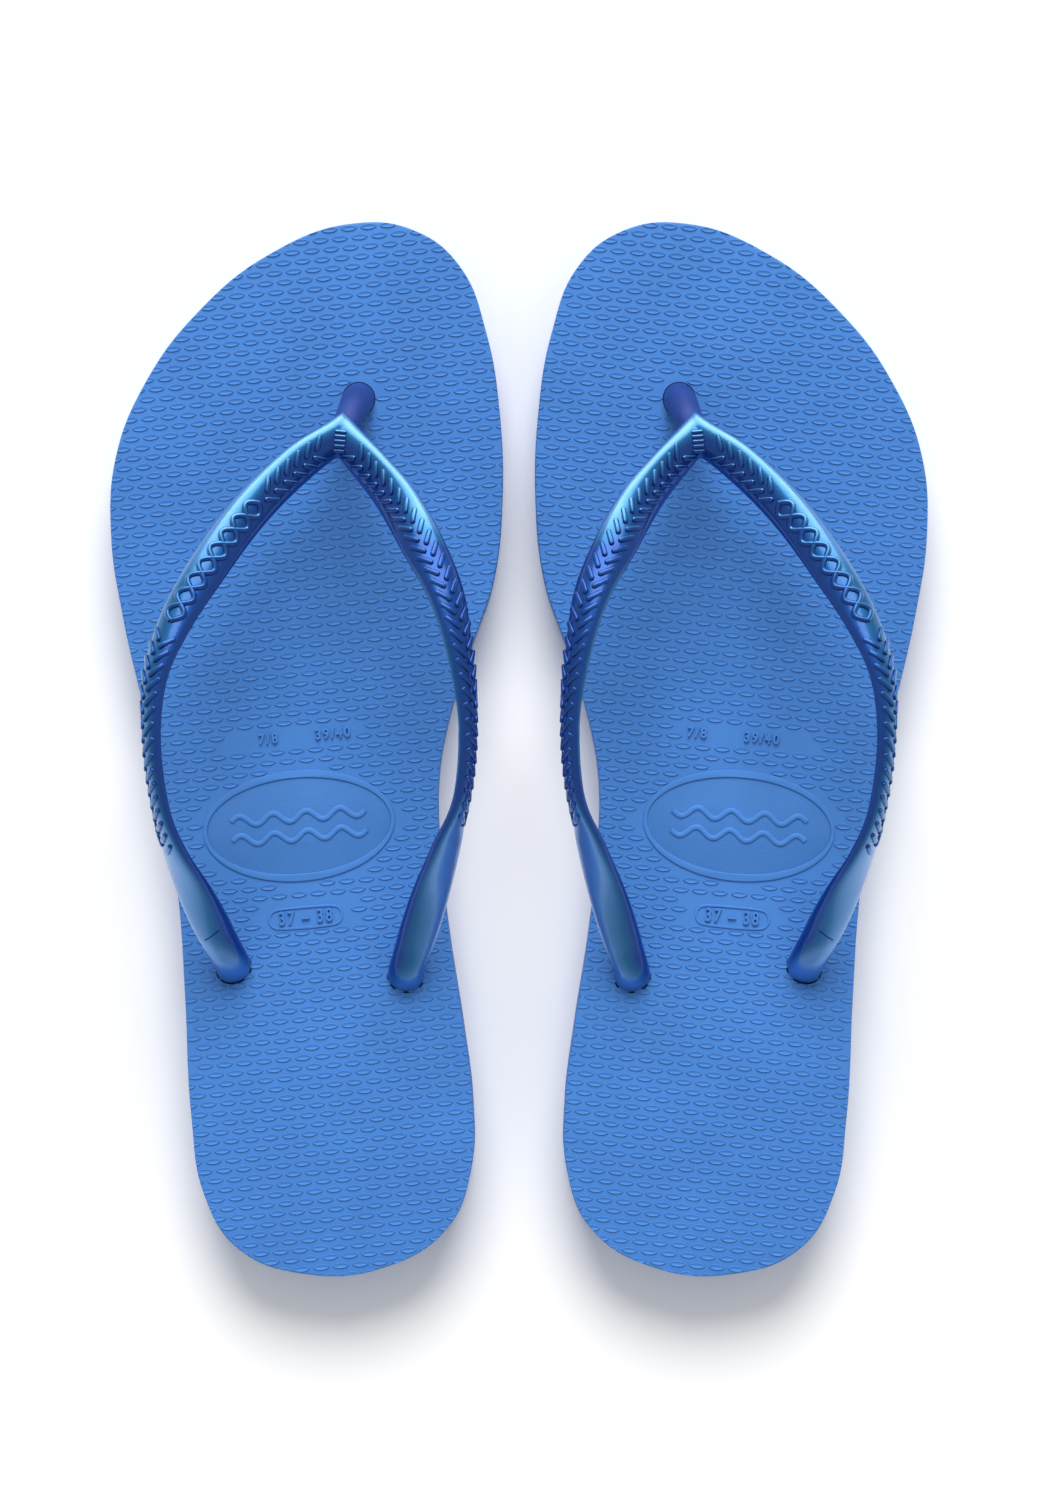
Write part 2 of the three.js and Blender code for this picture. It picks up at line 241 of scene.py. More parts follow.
class StrapSizes(bpy.types.PropertyGroup):
    """Sizes of the strap and its relief."""
    width: length("Width", "Width of the strap", 9.8 * MM)
    thickness: length("Thickness", "Thickness of the strap", 3.8 * MM)
    crown: length("Crown", "How far the domed face stands above the centreline", 2.5 * MM)
    plug_width: length("Plug width", "Width of the shank in the sole", 8.8 * MM)
    plug_depth: length("Plug depth", "Depth of the shank in the sole", 7 * MM)
    button_radius: length("Button radius", "Radius of the button under the sole", 9 * MM)
    bar_length: length("Bar length", "Length of one bar of the herringbone", 4.4 * MM)
    bar_width: length("Bar width", "Width of one bar of the herringbone", 1.35 * MM)
    bar_height: length("Bar height", "How far a bar stands above the strap", 0.6 * MM)
    bar_pitch: length("Bar pitch", "From one bar to the next along the strap", 3.4 * MM)
    post_radius: length("Post radius", "Radius of the toe post at the sole", 4 * MM)
    post_top_radius: length("Post top radius", "Radius of the toe post under the strap", 3 * MM)
    post_button_radius: length("Post button radius", "Radius of the toe post's button", 10 * MM)


class FinishColours(bpy.types.PropertyGroup):
    """Colours of the finishes."""
    footbed: colour("Footbed", "Moulded rubber of the upper layer", linear(67, 126, 199))
    outsole: colour("Outsole", "Moulded rubber of the lower layer", linear(57, 114, 192))
    # The strap's inner-side colour is painted shade and its outer-side colour is a painted reflection and
    # highlight; the strap colour between them is its own.
    strap_painted_shade: colour("Strap, painted shade side", "Painted shade where the strap faces the foot", linear(4, 68, 150))
    strap: colour("Strap", "Pearl of the strap", linear(26, 104, 160))
    strap_painted_reflection: colour("Strap, painted reflection side", "Painted reflection where the strap faces away", linear(84, 138, 200))
    post: colour("Toe post", "Satin of the toe post", linear(34, 60, 134))
    floor: colour("Floor", "Floor under the shoes", linear(250, 250, 250))


# Shoe frame -----------------------------------------------


def shoe_place(side):
    """The matrix from a shoe's own frame to the pair's, worked out from its bending joint."""
    joint = next(j for j in frame["joints"] if j["name"] == f"{side}_toe_flex")
    turn = math.atan2(joint["axis"][1], joint["axis"][0])
    mirror = Matrix.Scale(1 if side == "left" else -1, 4, (1, 0, 0))
    at = Matrix.Translation((joint["pos_m"][0], joint["pos_m"][1], 0))
    return at @ Matrix.Rotation(turn, 4, "Z") @ Matrix.Translation((0, -FLEX_Y, 0)) @ mirror


def smoothstep(value, low, high):
    t = min(max((value - low) / (high - low), 0), 1)
    return t * t * (3 - 2 * t)


def lerp(a, b, t):
    return a + (b - a) * t


def between(values, t):
    """A value between those given at an arm's points, t from 0 to 1 along them."""
    place = min(max(t, 0), 1) * (len(values) - 1)
    before = min(int(place), len(values) - 2)
    return lerp(values[before], values[before + 1], place - before)


def lift(y):
    """How much higher the footbed is at y than at the toes."""
    return (HEEL_TOP - FOREFOOT_TOP) * smoothstep(LIFT_START_Y - y, 0, LIFT_START_Y - LIFT_END_Y)


def drawn(x, y, height):
    """A point drawn as x, y and height above the footbed."""
    return Vector((x * MM, y * MM, FOREFOOT_TOP + lift(y * MM) + height * MM))


# Mesh helpers ---------------------------------------------


def deselect():
    bpy.ops.object.select_all(action="DESELECT")


def only(piece):
    deselect()
    piece.select_set(True)
    bpy.context.view_layer.objects.active = piece


def new_piece(name):
    piece = bpy.context.object
    piece.name = name
    piece.data.name = name
    return piece


def coordinates(piece):
    values = np.empty(len(piece.data.vertices) * 3)
    piece.data.vertices.foreach_get("co", values)
    return values.reshape(-1, 3)


def set_coordinates(piece, values):
    piece.data.vertices.foreach_set("co", np.asarray(values, float).ravel())
    piece.data.update()


def moved(piece, change):
    """Every vertex goes where change(x, y, z) says."""
    set_coordinates(piece, [change(*point) for point in coordinates(piece)])


def on_footbed(piece, above=0.0):
    """Raises a piece from round z = 0 to the footbed, whose height changes along the shoe."""
    moved(piece, lambda x, y, z: (x, y, z + FOREFOOT_TOP + lift(y) + above))


def give(target, **settings):
    for key, value in settings.items():
        setattr(target, key, value)


def modify(piece, kind, **settings):
    only(piece)
    modifier = piece.modifiers.new(kind.title(), kind)
    give(modifier, **settings)
    bpy.ops.object.modifier_apply(modifier=modifier.name)


def edit(piece, *steps):
    """Runs operators on the whole mesh in edit mode."""
    only(piece)
    bpy.ops.object.mode_set(mode="EDIT")
    for step in steps:
        bpy.ops.mesh.select_all(action="SELECT")
        step()
    bpy.ops.object.mode_set(mode="OBJECT")


def merge_points():
    bpy.ops.mesh.remove_doubles(threshold=TINY)


def face_out():
    bpy.ops.mesh.normals_make_consistent(inside=False)


def cut_across(piece, start, end, step, along=Vector((0, 1, 0))):
    """Adds edge lines across a piece, so that it can bend, rise or follow a curved face there."""
    def bisect(place):
        return lambda: bpy.ops.mesh.bisect(plane_co=along * place, plane_no=along)
    edit(piece, *(bisect(place) for place in np.arange(start, end, step)))


def ready_to_bend(slab):
    """Edge lines where the sole rises towards the heel and where it bends."""
    cut_across(slab, LIFT_END_Y, LIFT_START_Y, LIFT_STEP)
    cut_across(slab, BEND_START_Y - BEND_MARGIN, BEND_END_Y + BEND_MARGIN, BEND_STEP)


def join(pieces, name):
    only(pieces[0])
    for piece in pieces:
        piece.select_set(True)
    bpy.context.view_layer.objects.active = pieces[0]
    if len(pieces) > 1:
        bpy.ops.object.join()
    return new_piece(name)


def discard(*pieces):
    for piece in pieces:
        bpy.data.objects.remove(piece, do_unlink=True)


def boolean(piece, operation, cutter, solver="EXACT"):
    modify(piece, "BOOLEAN", operation=operation, object=cutter, solver=solver)
    discard(cutter)


def smooth(piece, angle):
    only(piece)
    bpy.ops.object.shade_smooth_by_angle(angle=math.radians(angle))


def spline_point(points, t):
    """A centripetal Catmull-Rom curve through the points, t from 0 to 1."""
    last = len(points) - 1
    place = min(max(t, 0), 1) * last
    i = min(int(place), last - 1)
    w = place - i
    p1, p2 = points[i], points[i + 1]
    p0 = points[i - 1] if i > 0 else 2 * p1 - p2
    p3 = points[i + 2] if i + 2 <= last else 2 * p2 - p1
    d0, d1, d2 = (max((b - a).length ** 0.5, TINY) for a, b in ((p0, p1), (p1, p2), (p2, p3)))
    m1 = ((p1 - p0) / d0 - (p2 - p0) / (d0 + d1) + (p2 - p1) / d1) * d1
    m2 = ((p2 - p1) / d1 - (p3 - p1) / (d1 + d2) + (p3 - p2) / d2) * d1
    a = 2 * p1 - 2 * p2 + m1 + m2
    b = -3 * p1 + 3 * p2 - 2 * m1 - m2
    return a * w ** 3 + b * w ** 2 + m1 * w + p1


def heading(points, t, step=1e-3):
    """Which way the curve through the points goes at t."""
    return (spline_point(points, t + step) - spline_point(points, t - step)).normalized()


def flat_shape(name, loops, height, rounding, offset=0):
    """A flat solid with rounded edges inside closed outlines, lying on z = 0, smooth through their points."""
    deselect()
    bpy.ops.curve.primitive_bezier_circle_add(location=(0, 0, 0))
    shape = bpy.context.object
    data = shape.data
    data.splines.clear()
    for loop in loops:
        spline = data.splines.new("BEZIER")
        spline.bezier_points.add(len(loop) - 1)
        for point, (x, y) in zip(spline.bezier_points, loop):
            point.co = (x, y, 0)
            point.handle_left_type = point.handle_right_type = "AUTO"
        spline.use_cyclic_u = True
    give(data, dimensions="2D", fill_mode="BOTH", resolution_u=8, extrude=height / 2 - rounding,
         bevel_depth=rounding, bevel_resolution=2, offset=offset - rounding)
    only(shape)
    bpy.ops.object.convert(target="MESH")
    piece = new_piece(name)
    edit(piece, merge_points, face_out)
    moved(piece, lambda x, y, z: (x, y, z + height / 2))
    return piece


def ellipse(cx, cy, length_x, length_y, count=24):
    turns = (2 * math.pi * i / count for i in range(count))
    return [(cx + math.cos(a) * length_x / 2, cy + math.sin(a) * length_y / 2) for a in turns]


def stadium(cx, cy, length_x, length_y, per_end=7):
    """A long oval with straight sides and round ends."""
    r = length_y / 2
    points = []
    for end, start in ((1, -math.pi / 2), (-1, math.pi / 2)):
        for i in range(per_end):
            a = start + math.pi * i / (per_end - 1)
            points.append((cx + end * (length_x / 2 - r) + r * math.cos(a), cy + r * math.sin(a)))
    return points


def outline():
    return [(x * MM, y * MM) for x, y in OUTLINE]


def outline_polygon(steps=6):
    """The sole's outline as a close polygon."""
    points = [Vector((x, y, 0)) for x, y in outline()]
    ring = points[-2:] + points + points[:3]
    last = len(ring) - 1
    return [spline_point(ring, (2 + i / steps) / last).xy for i in range(len(points) * steps)]


POLYGON = outline_polygon()


def near_outline(x, y, margin):
    """Whether a point is inside the outline grown by the margin, or shrunk where the margin is negative."""
    inside = False
    nearest = math.inf
    point = Vector((x, y))
    for a, b in zip(POLYGON, POLYGON[1:] + POLYGON[:1]):
        if (a.y > y) != (b.y > y) and x < (b.x - a.x) * (y - a.y) / (b.y - a.y) + a.x:
            inside = not inside
        nearest = min(nearest, (point - a).length)
    return nearest > -margin if inside else nearest < margin


def loft(name, stations, sides):
    """A closed tube through stations. Each station turns an angle round the section into a point."""
    def cap_ends():
        bpy.ops.mesh.select_all(action="DESELECT")
        bpy.ops.mesh.select_mode(type="EDGE")
        bpy.ops.mesh.select_non_manifold()
        bpy.ops.mesh.edge_face_add()
    deselect()
    bpy.ops.mesh.primitive_grid_add(x_subdivisions=sides, y_subdivisions=len(stations) - 1, size=2,
                                    location=(0, 0, 0))
    tube = new_piece(name)
    last = len(stations) - 1
    moved(tube, lambda x, y, z: stations[round((y + 1) / 2 * last)](math.pi * (x + 1)))
    edit(tube, merge_points, cap_ends, face_out)
    return tube


def cylinder(name, radius, bottom, top, at, rounding=0):
    deselect()
    bpy.ops.mesh.primitive_cylinder_add(vertices=64, radius=radius, depth=top - bottom, location=(0, 0, 0))
    piece = new_piece(name)
    if rounding:
        modify(piece, "BEVEL", width=rounding, segments=3, limit_method="ANGLE")
    middle = (top + bottom) / 2
    moved(piece, lambda x, y, z: (x + at[0], y + at[1], z + middle))
    return piece


def button(radius, at):
    return cylinder("button", radius, BUTTON_BASE, BUTTON_TOP, at, 0.6 * MM)


def moulding(name, pieces, voxel, passes):
    """Shapes that overlap, merged into one smooth skin."""
    whole = join(pieces, name)
    modify(whole, "REMESH", mode="VOXEL", voxel_size=voxel)
    modify(whole, "SMOOTH", factor=0.5, iterations=passes)
    return whole


def spread(piece, copies, place):
    """Copies a piece along an array, then place(copy, x, y, z) says where each copy's vertices go."""
    per_copy = len(piece.data.vertices)
    modify(piece, "ARRAY", count=copies, use_relative_offset=False, use_constant_offset=False)
    set_coordinates(piece, [place(i // per_copy, *point) for i, point in enumerate(coordinates(piece))])
    return piece


def staggered(reach_x, reach_y, pitch_x, pitch_y, allowed):
    """Places in rows over the sole, every other row half a pitch along, wherever they are allowed."""
    places = []
    for row in range(int(2 * reach_y / (pitch_y / 2))):
        y = -reach_y + row * pitch_y / 2
        x = -reach_x + (row % 2) * pitch_x / 2
        while x < reach_x:
            if allowed(x, y):
                places.append((x, y))
            x += pitch_x
    return places


def spread_flat(piece, places):
    """Copies a piece to places on the level."""
    return spread(piece, len(places), lambda copy, x, y, z: (x + places[copy][0], y + places[copy][1], z))


# Placing --------------------------------------------------


def place_pair(piece, name, slot, replaced=(), bends=True, reads=False):
    """Puts a piece of the shoe's frame on the left shoe and its mirror image on the right one.

    A piece that bends stays in the pair's frame, and any other rides on the rear body. A piece that reads is
    turned back, so that its figures aren't mirrored on the right shoe.
    """
    only(piece)
    bpy.ops.object.duplicate()
    twin = bpy.context.object
    if reads:
        across = coordinates(twin)[:, 0]
        middle = across.max() + across.min()
        moved(twin, lambda x, y, z: (middle - x, y, z))
    for side, made in zip(SIDES, (piece, twin)):
        place = shoe_place(side)
        made.data.transform(place)
        made.data.update()
        if side == "right" and not reads:
            made.data.flip_normals()
        made.name = f"{side}_{name}"
        made.data.name = made.name
        if replaced:
            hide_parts(*(f"{side}_{node}" for node in replaced))
        if bends:
            start, end = (place @ Vector((0, y, FOREFOOT_TOP)) for y in (BEND_START_Y, BEND_END_Y))
            tuple(start)
            tuple(end)
            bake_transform(made)
        else:
            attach(made, f"{side}_rear")


# Materials ------------------------------------------------


def feed(node, values):
    for key, value in values.items():
        node.inputs[key].default_value = value


def finish(name, base, roughness, metallic=0.0, coat=0.0, specular=0.5):
    """A principled material and its shader, with no shader when the material is already there."""
    material = bpy.data.materials.get(name)
    if material:
        return material, None
    material = bpy.data.materials.new(name)
    material.use_nodes = True
    shader = material.node_tree.nodes["Principled BSDF"]
    feed(shader, {"Base Color": (*base, 1), "Roughness": roughness, "Metallic": metallic, "Coat Weight": coat,
                  "Coat Roughness": 0.12, "Specular IOR Level": specular})
    return material, shader


def noise(tree, scale, detail=3.0, roughness=0.5):
    """The output of a noise that is fixed to the piece."""
    nodes = tree.nodes
    place = nodes.get("Place") or nodes.new("ShaderNodeTexCoord")
    place.name = "Place"
    texture = nodes.new("ShaderNodeTexNoise")
    feed(texture, {"Scale": scale, "Detail": detail, "Roughness": roughness})
    tree.links.new(place.outputs["Object"], texture.inputs["Vector"])
    return texture.outputs["Fac"]


def ramp(tree, shader, source, *stops):
    """Changes the colour as the source goes through the stops, each a position and a colour."""
    node = tree.nodes.new("ShaderNodeValToRGB")
    elements = node.color_ramp.elements
    while len(elements) < len(stops):
        elements.new(0.5)
    for element, (position, shown) in zip(elements, stops):
        element.position = position
        element.color = (*shown, 1)
    tree.links.new(source, node.inputs["Fac"])
    tree.links.new(node.outputs["Color"], shader.inputs["Base Color"])


def span(tree, shader, source, low, high):
    """Changes the roughness from low to high with the source."""
    node = tree.nodes.new("ShaderNodeMapRange")
    feed(node, {"To Min": low, "To Max": high})
    tree.links.new(source, node.inputs["Value"])
    tree.links.new(node.outputs["Result"], shader.inputs["Roughness"])


def bump(tree, shader, source, strength, distance):
    """Adds a relief in the surface, over those it has already."""
    node = tree.nodes.new("ShaderNodeBump")
    feed(node, {"Strength": strength, "Distance": distance})
    tree.links.new(source, node.inputs["Height"])
    before = shader.inputs["Normal"].links
    if before:
        tree.links.new(before[0].from_socket, node.inputs["Normal"])
    tree.links.new(node.outputs["Normal"], shader.inputs["Normal"])


def shade(base, factor):
    return tuple(c * factor for c in base)


def rubber(name, base, pore_scale=1900, pore_depth=0.05 * MM, strength=0.5):
    """Matt moulded rubber: cloudy in colour, with a fine sandy skin."""
    material, shader = finish(name, base, 0.6, specular=0.35)
    if not shader:
        return material
    tree = material.node_tree
    ramp(tree, shader, noise(tree, 45, 4, 0.6), (0.3, shade(base, 0.93)), (0.7, shade(base, 1.06)))
    span(tree, shader, noise(tree, 160, 5, 0.65), 0.5, 0.72)
    bump(tree, shader, noise(tree, pore_scale, 2), strength, pore_depth)
    bump(tree, shader, noise(tree, 240, 2), 0.35, 0.12 * MM)
    return material


def footbed_rubber():
    return rubber("Footbed rubber", bpy.context.scene.finish_colours.footbed)


def outsole_rubber():
    return rubber("Outsole rubber", bpy.context.scene.finish_colours.outsole)


def pearl(name, deep, base, light):
    """Pearl finish under a soft clear coat, with painted shade on the strap's side towards the foot and a
    painted reflection on its side away from it.
    """
    material, shader = finish(name, base, 0.32, metallic=0.85, coat=0.5)
    if not shader:
        return material
    tree = material.node_tree
    side = tree.nodes.new("ShaderNodeAttribute")
    side.attribute_name = PAINTED_LIGHT_ATTRIBUTE
    shift = tree.nodes.new("ShaderNodeMath")
    shift.operation = "MULTIPLY_ADD"
    shift.inputs[1].default_value = 0.08
    tree.links.new(noise(tree, 70, 3), shift.inputs[0])
    tree.links.new(side.outputs["Fac"], shift.inputs[2])
    # Painted shade at the low end of the ramp and a painted reflection at the high end, read from the attribute
    # kept at each point; the noise adds random tone.
    ramp(tree, shader, shift.outputs["Value"], (0.58, deep), (0.73, base), (0.9, light))
    span(tree, shader, noise(tree, 300, 3), 0.3, 0.44)
    bump(tree, shader, noise(tree, 2600, 1), 0.25, 0.02 * MM)
    return material


def satin(name, base):
    """Satin plastic of the toe post, with a faint flow pattern."""
    material, shader = finish(name, base, 0.42, coat=0.1)
    if not shader:
        return material
    tree = material.node_tree
    clouds = noise(tree, 120, 3)
    ramp(tree, shader, clouds, (0.3, shade(base, 0.8)), (0.7, shade(base, 1.15)))
    span(tree, shader, clouds, 0.34, 0.5)
    bump(tree, shader, noise(tree, 900, 2), 0.3, 0.04 * MM)
    return material


def painted(piece, material):
    piece.data.materials.clear()
    piece.data.materials.append(material)


def painted_reflection_level(facing, x, y):
    """How light the painted reflection is where the strap's face looks away from the foot by facing, -1 to 1.

    The painted reflection is on the side away from the foot and painted shade on the side towards it, but they
    cross over along the inner arm. The painted highlight is widest at the strap's point, painted shade narrows
    the light at the lower ends, and the painted reflection closes over the whole arm at the outer plug.
    """
    inner = smoothstep(x, -5 * MM, 20 * MM)
    upper = smoothstep(y, 38 * MM, 56 * MM)
    middle = smoothstep(y, -22 * MM, -8 * MM) - upper
    lower = smoothstep(-y, 8 * MM, 22 * MM)
    plug = smoothstep(-y, 43 * MM, 51 * MM)
    # upper adds the painted highlight at the strap's point, and lower takes light off as painted shade at the
    # lower ends.
    turned = 1 + 0.3 * upper - middle * lerp(0.5, 1.5, inner) + 0.2 * lower * inner
    return facing * turned - 0.2 * lower + 0.6 * plug * (1 - inner)


def pearled_with_painted_light(piece):
    """Gives a piece of the strap its pearl finish, and keeps at each point how much painted reflection or
    painted shade it gets.
    """
    colours = bpy.context.scene.finish_colours
    normals = np.empty(len(piece.data.vertices) * 3)
    piece.data.vertices.foreach_get("normal", normals)
    away = coordinates(piece)[:, :2] - np.array(FOOT_MIDDLE)
    away /= np.linalg.norm(away, axis=1, keepdims=True)
    facing = (normals.reshape(-1, 3)[:, :2] * away).sum(axis=1)
    # Painted reflection and painted shade, from which way each face looks from the middle of the foot.
    light = np.array([painted_reflection_level(look, x, y) for look, (x, y, _) in zip(facing, coordinates(piece))])
    piece.data.attributes.new(PAINTED_LIGHT_ATTRIBUTE, "FLOAT", "POINT").data.foreach_set("value", (light + 1) / 2)
    painted(piece, pearl("Strap pearl with painted light", colours.strap_painted_shade, colours.strap, colours.strap_painted_reflection))


def finished(piece, name, slot, angle, material=None, **placing):
    """Paints and smooths a piece, and puts it on both shoes. The strap's pieces are painted beforehand."""
    if material:
        painted(piece, material)
    smooth(piece, angle)
    place_pair(piece, name, slot, **placing)


# Strap ----------------------------------------------------


class Arm:
    """One arm of the strap as a line of stations, from beyond the strap's point down to its button."""
    STEPS = 170
    REACH = 9 * MM
    NARROW = 0.88

    def __init__(self, points, sizes):
        self.sizes = sizes
        end_x, end_y, _ = points[-1][1]
        shares = [width for _, _, width in points] + [1, 1]
        end = drawn(*points[-1][0])
        self.foot = Vector((end.x, end.y - PLUG_LEAN, BUTTON_MIDDLE))
        middle = Vector((self.foot.x, self.foot.y, (FOREFOOT_TOP + lift(self.foot.y)) / 2))
        line = [drawn(*at) for at, _, _ in points] + [middle, self.foot]
        looks = [Vector(face).normalized() for _, face, _ in points]
        looks += [Vector((end_x, end_y, 0)).normalized()] * 2
        into_sole = (len(points) - 1) / (len(points) + 1)
        self.stations = []
        distance = 0.0
        before = line[0]
        for i in range(self.STEPS + 1):
            t = i / self.STEPS
            centre = spline_point(line, t)
            along = heading(line, t)
            look = spline_point(looks, t)
            out = (look - look.dot(along) * along).normalized()
            distance += (centre - before).length
            before = centre
            plug = smoothstep(t, into_sole - PLUG_BLEND, into_sole)
            half = lerp(sizes.width * between(shares, t), sizes.plug_width, plug) / 2
            self.stations.append((distance, centre, along, out, plug, half))
        self.length = distance

    def station(self, distance):
        """Centre, along, across, out, how much the section is a plug's, and its half width, at a distance."""
        if distance <= 0:
            _, centre, along, out, plug, half = self.stations[0]
            return centre + along * distance, along, out.cross(along), out, plug, half * self.NARROW
        i = 1
        while i < len(self.stations) - 1 and self.stations[i][0] < distance:
            i += 1
        low, high = self.stations[i - 1], self.stations[i]
        t = (distance - low[0]) / max(high[0] - low[0], TINY)
        centre, along, out, plug, half = (lerp(low[k], high[k], t) for k in range(1, 6))
        half *= lerp(self.NARROW, 1, smoothstep(distance, 0, 14 * MM))
        return centre, along.normalized(), out.cross(along).normalized(), out.normalized(), plug, half

    def section(self, distance, grow=0.0):
        """A function from the angle round the section to a point on the strap."""
        centre, _, across, out, plug, half = self.station(distance)
        sizes = self.sizes
        half += grow
        above = lerp(sizes.crown, sizes.plug_depth / 2, plug) + grow
        below = lerp(sizes.thickness - sizes.crown, sizes.plug_depth / 2, plug) + grow
        power = lerp(FLAT_SIDE, 1, plug)

        def point(angle):
            c = math.cos(angle)
            height = c * above if c > 0 else -(abs(c) ** power) * below
            return centre + across * (math.sin(angle) * half) + out * height
        return point

    def surface(self, distance, side, height):
        """A point over the domed face, at a distance from the strap's point and to one side of its middle."""
        centre, _, across, out, plug, half = self.station(distance)
        above = lerp(self.sizes.crown, self.sizes.plug_depth / 2, plug)
        sine = min(max(side / half, -0.98), 0.98)
        cosine = math.sqrt(1 - sine * sine)
        normal = (across * (sine * above) + out * (cosine * half)).normalized()
        return centre + across * (sine * half) + out * (cosine * above) + normal * height

    def tube(self, name, grow=0.0, sides=32, step=1.2 * MM):
        count = int((self.length + self.REACH) / step)
        places = [lerp(-self.REACH, self.length, i / count) for i in range(count + 1)]
        return loft(name, [self.section(place, grow) for place in places], sides)


def strap_arms():
    sizes = bpy.context.scene.strap_sizes
    return Arm(OUTER_ARM, sizes), Arm(INNER_ARM, sizes)


def button_places():
    """Radius and middle of each button under the sole."""
    sizes = bpy.context.scene.strap_sizes
    outer, inner = strap_arms()
    return ((sizes.button_radius, outer.foot), (sizes.button_radius, inner.foot),
            (sizes.post_button_radius, POST_HOLE))


def mitre(arms):
    """The plane between the two arms: a point on it, and its direction towards the second arm."""
    first, second = (arm.station(0) for arm in arms)
    towards = second[1] - first[1]
    return first[0], Vector((towards.x, towards.y, 0)).normalized()


def strap_body(name, grow=0.0):
    """Both arms cut on the mitre and joined, without the buttons."""
    arms = strap_arms()
    at, towards = mitre(arms)
    halves = []
    for arm, sign in zip(arms, (-1, 1)):
        half = arm.tube(name, grow)
        edit(half, lambda: bpy.ops.mesh.bisect(plane_co=at, plane_no=towards * sign, use_fill=True,
                                               clear_inner=True), face_out)
        halves.append(half)
    return join(halves, name)


def relief_on(arm, shape, copies, position):
    """Copies of a flat shape laid on an arm. position(copy) gives distance, side and turn."""
    def place(copy, x, y, z):
        distance, side, turn = position(copy)
        c, s = math.cos(turn), math.sin(turn)
        return arm.surface(distance + x * c - y * s, side + x * s + y * c, z)
    return spread(shape, copies, place)


def bar_shape(length_x, width, height, sunk):
    """A short raised bar with rounded ends and a soft top, lying along x."""
    deselect()
    bpy.ops.mesh.primitive_cylinder_add(vertices=12, radius=width / 2, depth=1, location=(0, 0, 0))
    piece = new_piece("bar")
    straight = (length_x - width) / 2
    deep = height + sunk
    moved(piece, lambda x, y, z: (x + math.copysign(straight, x), y, (z + 0.5) * deep - sunk))
    modify(piece, "BEVEL", width=min(width * 0.3, height * 0.8), segments=2, limit_method="ANGLE")
    return piece


def wave_line(cx, cy, long, amplitude, periods, radius, start=0.0):
    """A round bead along a sine wave, level and centred on z = 0, which starts at a share of a period."""
    steps = periods * 16
    deselect()
    bpy.ops.curve.primitive_bezier_curve_add(location=(0, 0, 0))
    bead = bpy.context.object
    data = bead.data
    data.splines.clear()
    spline = data.splines.new("POLY")
    spline.points.add(steps)
    for i, point in enumerate(spline.points):
        t = i / steps
        point.co = (cx + (t - 0.5) * long, cy + amplitude * math.sin(2 * math.pi * (periods * t + start)), 0, 1)
    give(data, bevel_depth=radius, bevel_resolution=3, use_fill_caps=True)
    only(bead)
    bpy.ops.object.convert(target="MESH")
    return new_piece("wave")


def point_ribs(arms):
    """Short ribs across the ridge where the arms meet, on its heel side."""
    at, towards = mitre(arms)
    ridge = Vector((-towards.y, towards.x, 0))
    reach = arms[0].station(0)[5] / math.sqrt(1 - arms[0].station(0)[1].xy.dot(ridge.xy) ** 2)
    rib = bar_shape(*RIB_SHAPE, SUNK)
    places = [lerp(*RIB_STRETCH, i / (RIBS - 1)) for i in range(RIBS)]
    body = strap_body("probe")

    def place(copy, x, y, z):
        spot = at + ridge * (places[copy] * reach + y) + towards * x
        _, top, _, _ = body.ray_cast(Vector((spot.x, spot.y, 1)), Vector((0, 0, -1)))
        return spot.x, spot.y, top.z + z
    ribs = spread(rib, len(places), place)
    discard(body)
    return ribs


def toe_post(name, grow=0.0):
    """The post from its hole up to the strap's point, as a closed tube."""
    strap = bpy.context.scene.strap_sizes
    ground = FOREFOOT_TOP + lift(POST_HOLE.y)
    top = drawn(*OUTER_ARM[0][0])
    top.z -= strap.thickness - strap.crown - 0.4 * MM
    middle = POST_HOLE.lerp(top, 0.3)
    middle.z = lerp(ground, top.z, 0.4)
    line = [
        Vector((POST_HOLE.x, POST_HOLE.y, BUTTON_MIDDLE)),
        Vector((POST_HOLE.x, POST_HOLE.y, ground - 1 * MM)),
        middle,
        top,
    ]
    steps = 36

    def station(t):
        centre = spline_point(line, t)
        along = heading(line, t)
        out = (Vector((0, 1, 0)) - along.y * along).normalized()
        across = out.cross(along)
        radius = lerp(strap.post_radius, strap.post_top_radius, smoothstep(centre.z, ground, top.z)) + grow
        return lambda angle: centre + across * (math.sin(angle) * radius) + out * (math.cos(angle) * radius)
    return loft(name, [station(i / steps) for i in range(steps + 1)], 32)


# Operators ------------------------------------------------


class BuildFootbed(bpy.types.Operator):
    """Upper layer of the sole, with the holes for the strap and the toe post"""
    bl_idname = "sandal.footbed"
    bl_label = "Footbed"

    def execute(self, context):
        sizes = context.scene.sole_sizes
        slab = flat_shape("footbed", [outline()], FOREFOOT_TOP - SEAM, sizes.edge_round)
        ready_to_bend(slab)
        moved(slab, lambda x, y, z: (x, y, z + SEAM + lift(y)))
        holes = strap_body("holes", grow=HOLE_FIT)
        moved(holes, lambda x, y, z: (x, y - HOLE_FIT, z))
        boolean(slab, "DIFFERENCE", holes)
        boolean(slab, "DIFFERENCE", toe_post("hole", grow=HOLE_FIT))
        finished(slab, "footbed", "footbed", 30, footbed_rubber(), replaced=("footbed_front", "footbed_rear"))
        return {"FINISHED"}


